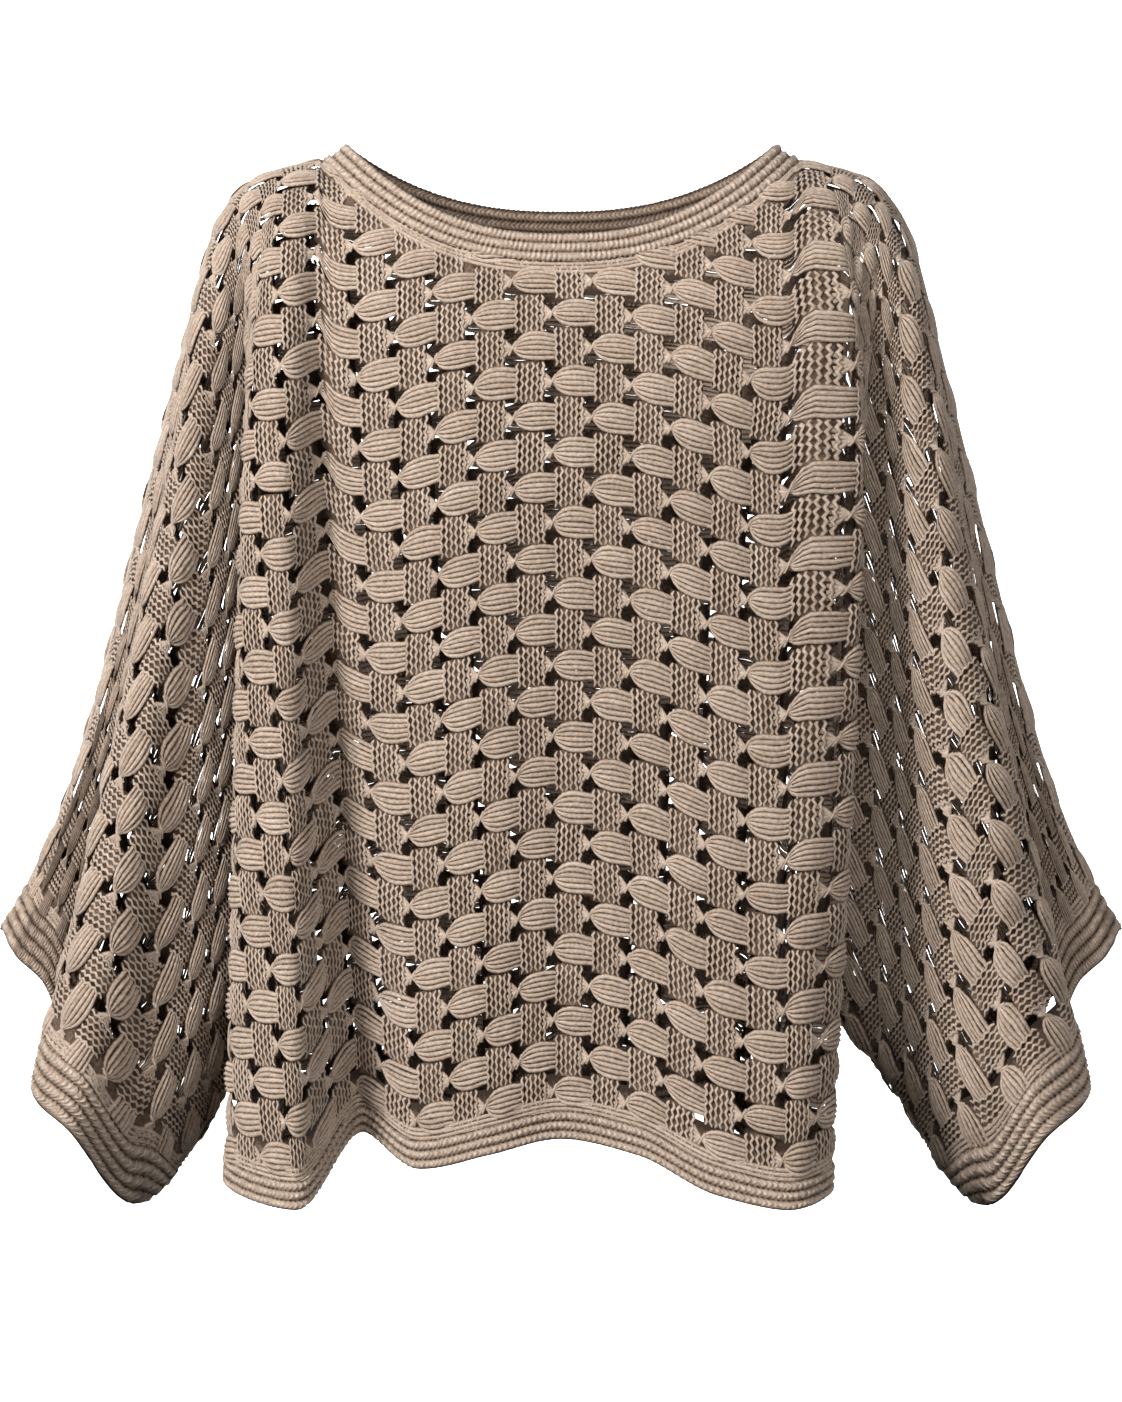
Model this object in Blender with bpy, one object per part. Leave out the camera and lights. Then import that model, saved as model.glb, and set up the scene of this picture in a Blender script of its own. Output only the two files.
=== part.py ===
"""Batwing poncho pullover in an openwork basket knit, hollow and draped as when worn.

The front looks along -Y, +X is to the right as seen from the front, and +Z is up. The origin is the
middle of the shoulder line. Lengths in the tables are millimetres, and the mesh is made in metres.

Each panel is drawn on flat cloth first: u runs across from the centre line, and v runs down from the
shoulder line. Strands run from an upper end, on the neckline or on the over-arm seam, to a lower end
on the hem, the underarm seam or the cuff. A fold table says where each strand hangs.
"""

import math
from collections import namedtuple

import bmesh
import bpy
import numpy as np

MM = 0.001
SEAM_GAP = 0.3
CUFF_GAP = 0.6  # wider, because the wall twists where the folds meet the cuff
HALF_GAP = SEAM_GAP / 2
WALL = 2.6

NECK_HALF = 143.0
SHOULDER_Z = 16.0
CUFF_END = 663.0

HEM_BAND = 17.0
CUFF_BAND = 27.0
CUFF_START = CUFF_END - CUFF_BAND

CELL = NECK_HALF / 6
COURSE = 21.0
HEM_CORNER = 17 * CELL  # flat distance of the hem's side corners from the centre line
HEM_SLANT = 0.4  # how far the strand at that corner leans outward for each mm down
RELIEF = 2.4
RIB_RELIEF = 0.9
NECK_RIBS = 3
HEM_RIBS = 2
CUFF_RIBS = 3
LENS = 70.0  # the cloth rounds out to its full depth this far from the underarm seam
SHOULDER_EASE = 6  # how soon a strand reaches its own fold line below the shoulder
FOLD_GROWTH = 1.25  # folds are narrow at the shoulder and widen downwards
BODY_GROWTH = 0.85  # on the body their depth comes sooner than their width
BODY_HALF = 185.0
NECK_CURVE = 2.4
NUDGE = 1.6
MIDDLE_V = 251.0  # a flat point inside the cloth, off the lattice
TINY = 1e-6

YARN = (0.36, 0.29, 0.235, 1.0)
BAND_YARN = (0.34, 0.27, 0.22, 1.0)

# The over-arm seam as it hangs, from the neck corner to the end of the cuff, for x > 0.
Edge = namedtuple("Edge", "x z")
OVER_ARM = [
    Edge(143, 16),
    Edge(168, 11),
    Edge(190, 0),
    Edge(204, -18),
    Edge(212, -42),
    Edge(224, -90),
    Edge(248, -186),
    Edge(278, -306),
    Edge(300, -378),
    Edge(320, -422),
    Edge(336, -444),
]

# One row for each strand that makes a fold. top_u is its upper end on the flat, hang is the x at which
# its straight part would start at shoulder height, flat_u and flat_v are its lower end on the flat,
# and x, depth and z are where that end hangs. Depth is measured from the seam plane at y = 0.
Fold = namedtuple("Fold", "top_u hang flat_u flat_v x depth z")

FRONT_FOLDS = [
    Fold(-CUFF_END, -334, -CUFF_END, 0.01, -334, 1, -444),
    Fold(-500, -270, -CUFF_END, 70, -325, 36, -459),
    Fold(-360, -238, -CUFF_END, 126, -308, 38, -476),
    Fold(-275, -222, -CUFF_END, 176, -300, 36, -504),
    Fold(-235, -212, -CUFF_END, 220, -314, 62, -537),
    Fold(-215, -204, -CUFF_END, 268, -290, 90, -562),
    Fold(-205, -197, -CUFF_END, 322, -257, 60, -607),
    Fold(-198, -194, -545, 385, -190, 34, -522),
    Fold(-192, -192, -480, 430, -156, 26, -470),
    Fold(-178, -190, -HEM_CORNER, 545, -168, 34, -538),
    Fold(-164, -187, -290, 602, -197, 88, -575),
    Fold(-152, -168, -215, 612, -156, 128, -589),
    Fold(-NECK_HALF, -143, -NECK_HALF, 612, -118, 60, -547),
    Fold(-100, -98, -100, 612, -84, 100, -566),
    Fold(-50, -49, -50, 612, -42, 112, -557),
    Fold(0, 0, 0, 612, 0, 108, -548),
    Fold(50, 49, 50, 612, 45, 114, -557),
    Fold(100, 98, 100, 612, 92, 126, -580),
    Fold(NECK_HALF, 143, NECK_HALF, 612, 134, 128, -589),
    Fold(156, 187, 188, 611, 159, 100, -579),
    Fold(166, 188, 285, 595, 122, 60, -556),
    Fold(178, 189, HEM_CORNER, 545, 138, 32, -538),
    Fold(192, 191, 480, 430, 142, 26, -474),
    Fold(198, 194, 545, 385, 186, 34, -520),
    Fold(205, 197, CUFF_END, 322, 256, 60, -608),
    Fold(215, 204, CUFF_END, 268, 286, 92, -566),
    Fold(235, 212, CUFF_END, 220, 314, 62, -537),
    Fold(275, 222, CUFF_END, 176, 300, 36, -504),
    Fold(360, 238, CUFF_END, 126, 308, 38, -476),
    Fold(500, 270, CUFF_END, 70, 325, 36, -459),
    Fold(CUFF_END, 334, CUFF_END, 0.01, 334, 1, -444),
]

BACK_FOLDS = [
    Fold(-CUFF_END, -334, -CUFF_END, 0.01, -334, 1, -444),
    Fold(-500, -270, -CUFF_END, 70, -323, 34, -459),
    Fold(-360, -236, -CUFF_END, 126, -303, 34, -476),
    Fold(-275, -220, -CUFF_END, 176, -289, 27, -502),
    Fold(-235, -210, -CUFF_END, 220, -298, 58, -530),
    Fold(-215, -204, -CUFF_END, 268, -290, 80, -562),
    Fold(-205, -197, -CUFF_END, 322, -257, 56, -607),
    Fold(-198, -194, -545, 385, -190, 34, -522),
    Fold(-192, -192, -480, 430, -156, 26, -470),
    Fold(-178, -190, -HEM_CORNER, 545, -168, 34, -538),
    Fold(-164, -187, -290, 602, -197, 78, -575),
    Fold(-150, -160, -205, 608, -138, 114, -558),
    Fold(-110, -108, -125, 610, -86, 84, -538),
    Fold(-55, -54, -60, 610, -44, 112, -548),
    Fold(0, 0, 0, 610, 0, 94, -536),
    Fold(55, 54, 60, 610, 42, 112, -546),
    Fold(110, 108, 125, 610, 88, 86, -538),
    Fold(150, 160, 205, 608, 113, 106, -556),
    Fold(166, 188, 285, 595, 122, 72, -556),
    Fold(178, 189, HEM_CORNER, 545, 138, 32, -538),
    Fold(192, 191, 480, 430, 142, 26, -474),
    Fold(198, 194, 545, 385, 186, 34, -520),
    Fold(205, 197, CUFF_END, 322, 256, 56, -608),
    Fold(215, 204, CUFF_END, 268, 286, 80, -566),
    Fold(235, 210, CUFF_END, 220, 298, 58, -530),
    Fold(275, 220, CUFF_END, 176, 289, 27, -502),
    Fold(360, 236, CUFF_END, 126, 303, 34, -476),
    Fold(500, 270, CUFF_END, 70, 323, 34, -459),
    Fold(CUFF_END, 334, CUFF_END, 0.01, 334, 1, -444),
]

# Where each panel's neck edge hangs at the centre line, and how far down the flat cloth it is cut.
Neck = namedtuple("Neck", "centre_z free_z cut")
FRONT_NECK = Neck(-47, -30, 105)
BACK_NECK = Neck(-27, -10, 75)
NECK_FREE_HALF = 127.0
NECK_FREE_Z = 26.0
NECK_LEAN = 0.89


def smooth_curve(at, knots, values):
    """A monotone cubic through the knots, so that each fold keeps its own height with no overshoot."""
    step = np.diff(knots)
    slope = np.diff(values) / step
    turn = slope[:-1] * slope[1:]
    mean = 2 * turn / np.where(turn > 0, slope[:-1] + slope[1:], 1)
    inner = np.where(turn > 0, mean, 0)
    slopes = np.concatenate([slope[:1], inner, slope[-1:]])
    k = np.clip(np.searchsorted(knots, at, side="right") - 1, 0, len(step) - 1)
    f = (at - knots[k]) / step[k]
    rise = values[k + 1] - values[k]
    bend = (slopes[k] * (1 - f) - slopes[k + 1] * f) * step[k]
    skew = bend - rise * (1 - 2 * f)
    return values[k] + rise * f + f * (1 - f) * skew


def quarter_round(w):
    """Depth of a quarter ellipse, 0 to 1, at a share w of its run."""
    w = np.clip(w, 0, 1)
    return np.sqrt(w * (2 - w))


def over_arm(u):
    """x and z of the over-arm seam at the flat distance u from the centre line."""
    xs = np.array([edge.x for edge in OVER_ARM], float)
    zs = np.array([edge.z for edge in OVER_ARM], float)
    run = NECK_HALF + np.concatenate([[0], np.cumsum(np.hypot(np.diff(xs), np.diff(zs)))])
    run = NECK_HALF + (run - NECK_HALF) * (CUFF_END - NECK_HALF) / (run[-1] - NECK_HALF)
    far = np.abs(u)
    return np.sign(u) * smooth_curve(far, run, xs), smooth_curve(far, run, zs)


def chest_depth(u):
    """How far the cloth stands from the seam plane below the shoulder, chest to arm."""
    return 40 + 70 * np.exp(-((u / 230) ** 2))


def round_height(u):
    """Height over which the cloth rounds from the seam plane to its depth, chest to arm."""
    return 45 + 135 * np.exp(-((u / 200) ** 2))


class Drape:
    """One panel as it hangs: flat cloth (u, v) to x, y, z in millimetres."""

    STRANDS = 321
    STEPS = 81
    EDGE_POINTS = 900
    BATCH = 4000

    def __init__(self, folds, neck, facing):
        self.neck = neck
        self.facing = facing
        rows = np.array(folds, float)
        self.columns = rows.T
        run = np.hypot(np.diff(rows[:, 2]), np.diff(rows[:, 3]))
        self.knots = np.concatenate([[0], np.cumsum(run)])
        self.edge_q, self.edge_u, self.edge_v = self.lower_edge()
        self.seams = self.seam_lines()
        self.strand_at = np.linspace(0, self.knots[-1], self.STRANDS)
        self.warp = self.even_steps()

    def fold(self, q):
        """Every column of the fold table at the strands q."""
        return [smooth_curve(q, self.knots, column) for column in self.columns]

    def neck_cut(self, u):
        """Flat v of the panel's upper edge: the neck curve, or the over-arm seam at 0."""
        share = np.clip(np.abs(u) / NECK_HALF, 0, 1)
        return self.neck.cut * (1 - share**NECK_CURVE)

    def upper_end(self, u):
        """x and z where a strand starts, on the neck edge or the over-arm seam."""
        share = np.clip(np.abs(u) / NECK_HALF, 0, 1)
        neck_z = self.neck.centre_z + (SHOULDER_Z - self.neck.centre_z) * share**NECK_CURVE
        arm_x, arm_z = over_arm(np.where(np.abs(u) < NECK_HALF, NECK_HALF, u))
        inside = np.abs(u) < NECK_HALF
        return np.where(inside, u, arm_x), np.where(inside, neck_z, arm_z)

    def lower_edge(self):
        """Strands and flat points along the hem and underarm edges, left cuff corner to right."""
        q = np.union1d(np.linspace(0, self.knots[-1], self.EDGE_POINTS), self.knots)
        u, v = self.fold(q)[2:4]
        first = np.flatnonzero(u < TINY - CUFF_END)[-1]
        last = np.flatnonzero(u > CUFF_END - TINY)[0]
        return q[first : last + 1], u[first : last + 1], v[first : last + 1]

    def bottom(self, u):
        """Flat v of the hem or underarm edge at u."""
        return np.interp(u, self.edge_u, self.edge_v)

    def seam_lines(self):
        """Straight runs of both underarm seams on the flat, from the hem band's lower edge to the cuff."""
        starts, ends = [], []
        for side in (-1, 1):
            seam = self.edge_u * side > HEM_CORNER - TINY
            line = np.stack([self.edge_u[seam], self.edge_v[seam]], 1)[::side]
            stub = line[0] + 2 * HEM_BAND * np.array([side * HEM_SLANT, 1])
            line = np.vstack([stub, line])
            starts.append(line[:-1])
            ends.append(line[1:])
        return np.concatenate(starts), np.concatenate(ends)

    def seam_distance(self, u, v):
        """Flat distance to the nearest underarm seam."""
        starts, ends = self.seams
        run = ends - starts
        flat = np.stack([np.ravel(u), np.ravel(v)], 1)
        nearest = np.empty(len(flat))
        for first in range(0, len(flat), self.BATCH):
            reach = flat[first : first + self.BATCH, None] - starts
            share = np.clip((reach * run).sum(2) / (run * run).sum(1), 0, 1)
            gap = np.linalg.norm(reach - share[..., None] * run, axis=2)
            nearest[first : first + self.BATCH] = gap.min(1)
        return nearest.reshape(np.shape(u))

    def hang(self, q, t):
        """Point at a share t of strand q, before the underarm seam closes it: x, depth and z."""
        top_u, hang, _, _, low_x, low_depth, low_z = self.fold(q)
        top_x, top_z = self.upper_end(top_u)
        level = np.where(np.abs(top_u) < NECK_HALF, SHOULDER_Z, top_z)
        z = top_z + (low_z - top_z) * t
        grown = np.sign(t) * np.abs(t) ** FOLD_GROWTH
        eased = 1 - (1 - np.clip(t, 0, 1)) ** SHOULDER_EASE
        x = top_x + (hang - top_x) * eased + (low_x - hang) * np.where(t > 1, t, grown)
        full, height = chest_depth(top_u), round_height(top_u)
        low_round = quarter_round((level - low_z) / height)
        growth = FOLD_GROWTH + (BODY_GROWTH - FOLD_GROWTH) * np.exp(-((top_u / BODY_HALF) ** 6))
        deeper = np.sign(t) * np.abs(t) ** growth
        depth = full * quarter_round((level - z) / height) + (low_depth - full * low_round) * deeper
        return x, depth, z

    def even_steps(self):
        """For each strand, how far t runs ahead of its even length, so that courses keep their height."""
        t = np.linspace(0, 1, self.STEPS) ** 1.5
        x, depth, z = self.hang(self.strand_at[:, None], t[None, :])
        step = np.sqrt(np.diff(x) ** 2 + np.diff(depth) ** 2 + np.diff(z) ** 2)
        run = np.concatenate([np.zeros((len(x), 1)), np.cumsum(step, 1)], 1)
        run /= run[:, -1:]
        even = np.linspace(0, 1, self.STEPS)
        return np.stack([np.interp(even, row, t) for row in run]) - even

    def share_along(self, q, s):
        """t for an even share s along strand q."""
        at = np.clip(q / self.knots[-1], 0, 1) * (self.STRANDS - 1)
        row = np.clip(at.astype(int), 0, self.STRANDS - 2)
        along = np.clip(s, 0, 1) * (self.STEPS - 1)
        col = np.clip(along.astype(int), 0, self.STEPS - 2)
        a, b = at - row, along - col
        low = self.warp[row, col] * (1 - b) + self.warp[row, col + 1] * b
        high = self.warp[row + 1, col] * (1 - b) + self.warp[row + 1, col + 1] * b
        return s + low * (1 - a) + high * a

    def strand(self, u, v):
        """The strand and even share that pass through a flat point."""
        low = np.zeros(np.shape(u))
        high = np.full(np.shape(u), self.knots[-1])
        for _ in range(36):
            q = (low + high) / 2
            top_u, _, flat_u, flat_v = self.fold(q)[:4]
            top_v = self.neck_cut(top_u)
            s = (v - top_v) / (flat_v - top_v)
            past = top_u + (flat_u - top_u) * s > u
            high = np.where(past, q, high)
            low = np.where(past, low, q)
        return q, s

    def point(self, u, v):
        """x, y, z of flat points."""
        u, v = np.asarray(u, float), np.asarray(v, float)
        q, s = self.strand(u, v)
        x, depth, z = self.hang(q, self.share_along(q, s))
        depth = depth * quarter_round(self.seam_distance(u, v) / LENS)
        return np.stack([x, self.facing * depth, z], -1)

    def normal(self, u, v):
        """Outward unit normals of flat points, read just inside the cloth so that edges have them too."""
        towards = np.hypot(u, v - MIDDLE_V)
        u = u - NUDGE * u / towards
        v = v - NUDGE * (v - MIDDLE_V) / towards
        reach = NUDGE / 4
        across = self.point(u + reach, v) - self.point(u - reach, v)
        down = self.point(u, v + reach) - self.point(u, v - reach)
        out = np.cross(across, down) * self.facing
        return out / np.maximum(np.linalg.norm(out, axis=-1, keepdims=True), 1e-9)

    def layer(self, flat, out, faced):
        """Points moved out from the cloth's middle along the normals at the flat points faced.

        They are kept on this panel's side of the seam plane.
        """
        points = self.point(*flat) + self.normal(*faced) * np.asarray(out)[..., None]
        if self.facing < 0:
            points[..., 1] = np.minimum(points[..., 1], -HALF_GAP)
        else:
            points[..., 1] = np.maximum(points[..., 1], HALF_GAP)
        return points


def zip_columns(left, right, rows):
    """Triangles between two columns of flat points, with diagonals that join low cells."""
    faces = []
    a, b = 0, 0
    while a + 1 < len(left) or b + 1 < len(right):
        step_left = step_right = math.inf
        if a + 1 < len(left):
            step_left = math.dist(rows[left[a + 1]][:2], rows[right[b]][:2])
            step_left -= COURSE * rows[left[a + 1]][2] * rows[right[b]][2]
        if b + 1 < len(right):
            step_right = math.dist(rows[left[a]][:2], rows[right[b + 1]][:2])
            step_right -= COURSE * rows[left[a]][2] * rows[right[b + 1]][2]
        if step_left <= step_right:
            faces.append((left[a], left[a + 1], right[b]))
            a += 1
        else:
            faces.append((left[a], right[b + 1], right[b]))
            b += 1
    return faces


def split_rim(rows, faces, a, b, middle):
    """Adds a point on the rim between a and b, so that the rim follows its curve more closely."""
    rows.append(middle)
    new = len(rows) - 1
    owner = next(k for k, face in enumerate(faces) if a in face and b in face)
    face = faces[owner]
    faces[owner] = tuple(new if corner == b else corner for corner in face)
    faces.append(tuple(new if corner == a else corner for corner in face))


def course_levels(top, bottom):
    """Flat v of a column's points: its two ends and the courses well inside them."""
    first = math.ceil((top + COURSE * 0.45) / COURSE)
    last = math.floor((bottom - COURSE * 0.45) / COURSE)
    return [top] + [j * COURSE for j in range(first, last + 1)] + [bottom]


def basket_grid(drape):
    """The panel's flat lattice: rows of (u, v, low) and its triangles.

    Every column runs from the neck or over-arm edge to the hem or underarm edge. Raised cells hold a
    knitted shell, and the low cells between them plain mesh, in a checkerboard.
    """
    count = int((CUFF_START - CELL / 3) / CELL)
    columns = [-CUFF_START] + [k * CELL for k in range(-count, count + 1)] + [CUFF_START]
    low_v = drape.bottom(columns)
    rows, strips = [], []
    for k, (u, bottom) in enumerate(zip(columns, low_v)):
        levels = course_levels(float(drape.neck_cut(u)), float(bottom))
        strip = []
        for v in levels:
            edge = v in (levels[0], levels[-1]) or abs(u) == CUFF_START
            low = 1.0 if edge or (k + round(v / COURSE)) % 2 else 0.0
            strip.append(len(rows))
            rows.append((u, v, low))
        strips.append(strip)
    faces = []
    for left, right in zip(strips, strips[1:]):
        faces += zip_columns(left, right, rows)
        middle = (rows[left[0]][0] + rows[right[0]][0]) / 2
        if abs(middle) < NECK_HALF:
            split_rim(rows, faces, left[0], right[0], (middle, float(drape.neck_cut(middle)), 1.0))
        if abs(middle) < HEM_CORNER:
            split_rim(rows, faces, left[-1], right[-1], (middle, float(drape.bottom(middle)), 1.0))
    for strip in (strips[0], strips[-1]):
        for a, b in zip(strip, strip[1:]):
            split_rim(rows, faces, a, b, (rows[a][0], (rows[a][1] + rows[b][1]) / 2, 1.0))
    return rows, faces


def closed_shell(outer, inner, faces):
    """A closed body from two layers that share one set of triangles, with a wall round the rim."""
    mesh = bmesh.new()
    tops = [mesh.verts.new(point * MM) for point in outer]
    lows = [mesh.verts.new(point * MM) for point in inner]
    sides = {}
    for a, b, c in faces:
        mesh.faces.new((tops[a], tops[b], tops[c]))
        mesh.faces.new((lows[c], lows[b], lows[a]))
        for pair in ((a, b), (b, c), (c, a)):
            sides[pair] = True
    for a, b in sides:
        if (b, a) not in sides:
            mesh.faces.new((tops[b], tops[a], lows[a], lows[b]))
    return mesh


def ring_body(sections):
    """A closed ring from sections, each a closed loop of points."""
    mesh = bmesh.new()
    loops = [[mesh.verts.new(point * MM) for point in section] for section in sections]
    size = len(loops[0])
    for k, loop in enumerate(loops):
        following = loops[(k + 1) % len(loops)]
        for j in range(size):
            n = (j + 1) % size
            mesh.faces.new((loop[j], loop[n], following[n], following[j]))
    return mesh


def joined_ring(first_half, second_half):
    """A ring from two rows of sections that share their ends."""
    start = (first_half[0] + second_half[0]) / 2
    end = (first_half[-1] + second_half[-1]) / 2
    return ring_body([start] + first_half[1:-1] + [end] + second_half[1:-1][::-1])


def add_piece(name, mesh, colour, collection):
    """A named object with its own material."""
    bmesh.ops.recalc_face_normals(mesh, faces=mesh.faces)
    if mesh.calc_volume(signed=True) < 0:
        bmesh.ops.reverse_faces(mesh, faces=mesh.faces)
    data = bpy.data.meshes.new(name)
    mesh.to_mesh(data)
    mesh.free()
    material = bpy.data.materials.new(name)
    material.use_nodes = True
    shader = material.node_tree.nodes["Principled BSDF"]
    shader.inputs["Base Color"].default_value = colour
    shader.inputs["Roughness"].default_value = 0.9
    shader.inputs["Metallic"].default_value = 0.0
    data.materials.append(material)
    data.shade_smooth()
    piece = bpy.data.objects.new(name, data)
    collection.objects.link(piece)
    return piece


def make_panel(name, drape, collection):
    """Front or back with both batwing sleeves in one: raised shells outside, plain inside."""
    rows, faces = basket_grid(drape)
    u, v, low = np.array(rows).T
    outer = drape.layer((u, v), WALL / 2 + RELIEF * (1 - low), (u, v))
    inner = drape.layer((u, v), np.full(len(u), -WALL / 2), (u, v))
    if drape.facing > 0:
        faces = [face[::-1] for face in faces]
    return add_piece(name, closed_shell(outer, inner, faces), YARN, collection)


def rib_profile(width, ribs):
    """Across a band: distances from its first edge and heights, outside first and then inside."""
    count = 2 * ribs + 1
    across = np.linspace(0, width, count)
    height = WALL / 2 + RIB_RELIEF * (np.arange(count) % 2)
    back = across[[-1, 0]]
    return np.concatenate([across, back]), np.concatenate([height, np.full(2, -WALL / 2)])


def band_sections(drape, flat_of, stations, width, ribs):
    """Sections of half a band: flat_of(station, across) gives the flat point."""
    across, height = rib_profile(width - SEAM_GAP, ribs)
    sections = []
    for station in stations:
        panel_edge = flat_of(drape, station, np.zeros(len(across)))
        flat = flat_of(drape, station, across + SEAM_GAP)
        sections.append(drape.layer(flat, height, panel_edge))
    return sections


def hem_flat(drape, q, across):
    """Flat points below the hem edge on strand q."""
    top_u, _, flat_u, flat_v = drape.fold(np.full(len(across), q))[:4]
    top_v = drape.neck_cut(top_u)
    length = np.hypot(flat_u - top_u, flat_v - top_v)
    past = 1 + across / length
    return top_u + (flat_u - top_u) * past, top_v + (flat_v - top_v) * past


def make_hem(front, back, collection):
    """Ribbed ring round the body's lower edge, front left to right and back again."""
    halves = []
    for drape in (front, back):
        stations = np.interp(np.arange(-34, 35) * CELL / 2, drape.edge_u, drape.edge_q)
        halves.append(band_sections(drape, hem_flat, stations, HEM_BAND, HEM_RIBS))
    return add_piece("hem_band", joined_ring(*halves), BAND_YARN, collection)


def cuff_flat(side):
    """Flat points outside the panel's cuff edge; a station is a share from the over-arm seam down."""
    widening = CUFF_GAP - SEAM_GAP

    def flat(drape, share, across):
        u = side * (CUFF_START + across + widening * (across > 0))
        return u, share * drape.bottom(u)

    return flat


def make_cuff(name, side, front, back, collection):
    """Ribbed ring round a sleeve end, down the front half and up the back half."""
    halves = []
    for drape in (front, back):
        bottom = float(drape.bottom(side * CUFF_START))
        levels = np.array(course_levels(0.0, bottom)) / bottom
        stations = np.sort(np.concatenate([levels, (levels[1:] + levels[:-1]) / 2]))
        halves.append(band_sections(drape, cuff_flat(side), stations, CUFF_BAND, CUFF_RIBS))
    return add_piece(name, joined_ring(*halves), BAND_YARN, collection)


def neck_half(drape, shares):
    """Sections of the neckband on one panel, from its panel edge to its free edge."""
    across, height = rib_profile(1.0, NECK_RIBS)
    u = shares * NECK_HALF
    low = drape.point(u, drape.neck_cut(u))
    curve = np.abs(shares) ** NECK_CURVE
    high_z = drape.neck.free_z + (NECK_FREE_Z - drape.neck.free_z) * curve
    high = np.stack([low[:, 0] * NECK_FREE_HALF / NECK_HALF, low[:, 1] * NECK_LEAN, high_z], 1)
    along = np.gradient(low, axis=0)
    rise = high - low
    out = np.cross(along, rise) * -drape.facing
    out /= np.linalg.norm(out, axis=1, keepdims=True)
    rise_length = np.linalg.norm(rise, axis=1, keepdims=True)
    low_out = drape.normal(u, drape.neck_cut(u))
    low = low + rise / rise_length * SEAM_GAP
    sections = []
    for start, stop, first_out, last_out in zip(low, high, low_out, out):
        middle = start + (stop - start) * across[:, None]
        turned = first_out + (last_out - first_out) * across[:, None]
        sections.append(middle + turned * height[:, None])
    return sections


def make_neckband(front, back, collection):
    """Ribbed ring round the boat neck."""
    shares = np.arange(-12, 13) / 12
    halves = [neck_half(front, shares), neck_half(back, shares)]
    return add_piece("neckband", joined_ring(*halves), BAND_YARN, collection)


def main():
    for stale in list(bpy.data.objects):
        bpy.data.objects.remove(stale, do_unlink=True)
    pullover = bpy.data.collections.new("batwing_poncho_pullover")
    bpy.context.scene.collection.children.link(pullover)
    front = Drape(FRONT_FOLDS, FRONT_NECK, -1)
    back = Drape(BACK_FOLDS, BACK_NECK, 1)
    make_panel("front_panel", front, pullover)
    make_panel("back_panel", back, pullover)
    make_neckband(front, back, pullover)
    make_hem(front, back, pullover)
    make_cuff("cuff_left", -1, front, back, pullover)
    make_cuff("cuff_right", 1, front, back, pullover)


main()
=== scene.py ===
"""Looks of the batwing poncho pullover: the ribs and strands of its basket knit on the hanging cloth.

The frame gives the solids that each piece stands for. The front looks along -Y, +X is to the right as
seen from the front, and +Z is up. Lengths in the tables are millimetres, and the meshes are in metres.

Each panel is drawn on flat cloth first: u runs across from the centre line, and v runs down from the
shoulder line. Strands run from an upper end, on the neckline or on the over-arm seam, to a lower end
on the hem, the underarm seam or the cuff. A fold table says where each strand hangs.
"""

import math
from collections import namedtuple
from functools import partial

import bpy
import numpy as np
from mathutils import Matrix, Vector

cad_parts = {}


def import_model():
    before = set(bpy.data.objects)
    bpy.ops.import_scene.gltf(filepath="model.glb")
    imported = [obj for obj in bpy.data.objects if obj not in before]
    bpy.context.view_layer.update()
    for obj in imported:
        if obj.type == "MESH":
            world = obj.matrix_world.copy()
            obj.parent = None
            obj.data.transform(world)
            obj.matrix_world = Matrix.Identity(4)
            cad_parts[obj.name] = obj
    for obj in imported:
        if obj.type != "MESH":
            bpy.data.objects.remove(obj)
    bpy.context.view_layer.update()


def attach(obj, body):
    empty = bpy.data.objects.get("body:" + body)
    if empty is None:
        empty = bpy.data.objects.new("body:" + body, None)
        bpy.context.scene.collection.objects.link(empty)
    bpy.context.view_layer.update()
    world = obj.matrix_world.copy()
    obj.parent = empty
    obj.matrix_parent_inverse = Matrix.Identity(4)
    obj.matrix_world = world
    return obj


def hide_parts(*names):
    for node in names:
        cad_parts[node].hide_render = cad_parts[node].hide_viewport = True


MM = 0.001
SEAM_GAP = 0.3
HALF_GAP = SEAM_GAP / 2
WALL = 2.6

NECK_HALF = 143.0
SHOULDER_Z = 16.0
CUFF_END = 663.0

HEM_BAND = 17.0
CUFF_BAND = 27.0
CUFF_START = CUFF_END - CUFF_BAND

CELL = NECK_HALF / 6
COURSE = 21.0
HEM_CORNER = 17 * CELL  # flat distance of the hem's side corners from the centre line
HEM_SLANT = 0.4  # how far the strand at that corner leans outward for each mm down
LENS = 70.0  # the cloth rounds out to its full depth this far from the underarm seam
SHOULDER_EASE = 6  # how soon a strand reaches its own fold line below the shoulder
FOLD_GROWTH = 1.25  # folds are narrow at the shoulder and widen downwards
BODY_GROWTH = 0.85  # on the body their depth comes sooner than their width
BODY_HALF = 185.0
NECK_CURVE = 2.4
NUDGE = 1.6
MIDDLE_V = 251.0  # a flat point inside the cloth, off the lattice
ARM_DEPTH, CHEST_GAIN, CHEST_REACH = 40, 70, 230  # depth at the arm, what the chest adds, how far out
ARM_ROUND, CHEST_ROUND, ROUND_REACH = 45, 135, 200  # the same for the height that the cloth rounds over
EARLY_STEPS = 1.5  # a strand is read more closely near its upper end
HALVINGS = 36
TINY = 1e-6


# The over-arm seam as it hangs, from the neck corner to the end of the cuff, for x > 0.
Edge = namedtuple("Edge", "x z")
OVER_ARM = [
    Edge(143, 16),
    Edge(168, 11),
    Edge(190, 0),
    Edge(204, -18),
    Edge(212, -42),
    Edge(224, -90),
    Edge(248, -186),
    Edge(278, -306),
    Edge(300, -378),
    Edge(320, -422),
    Edge(336, -444),
]

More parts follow.
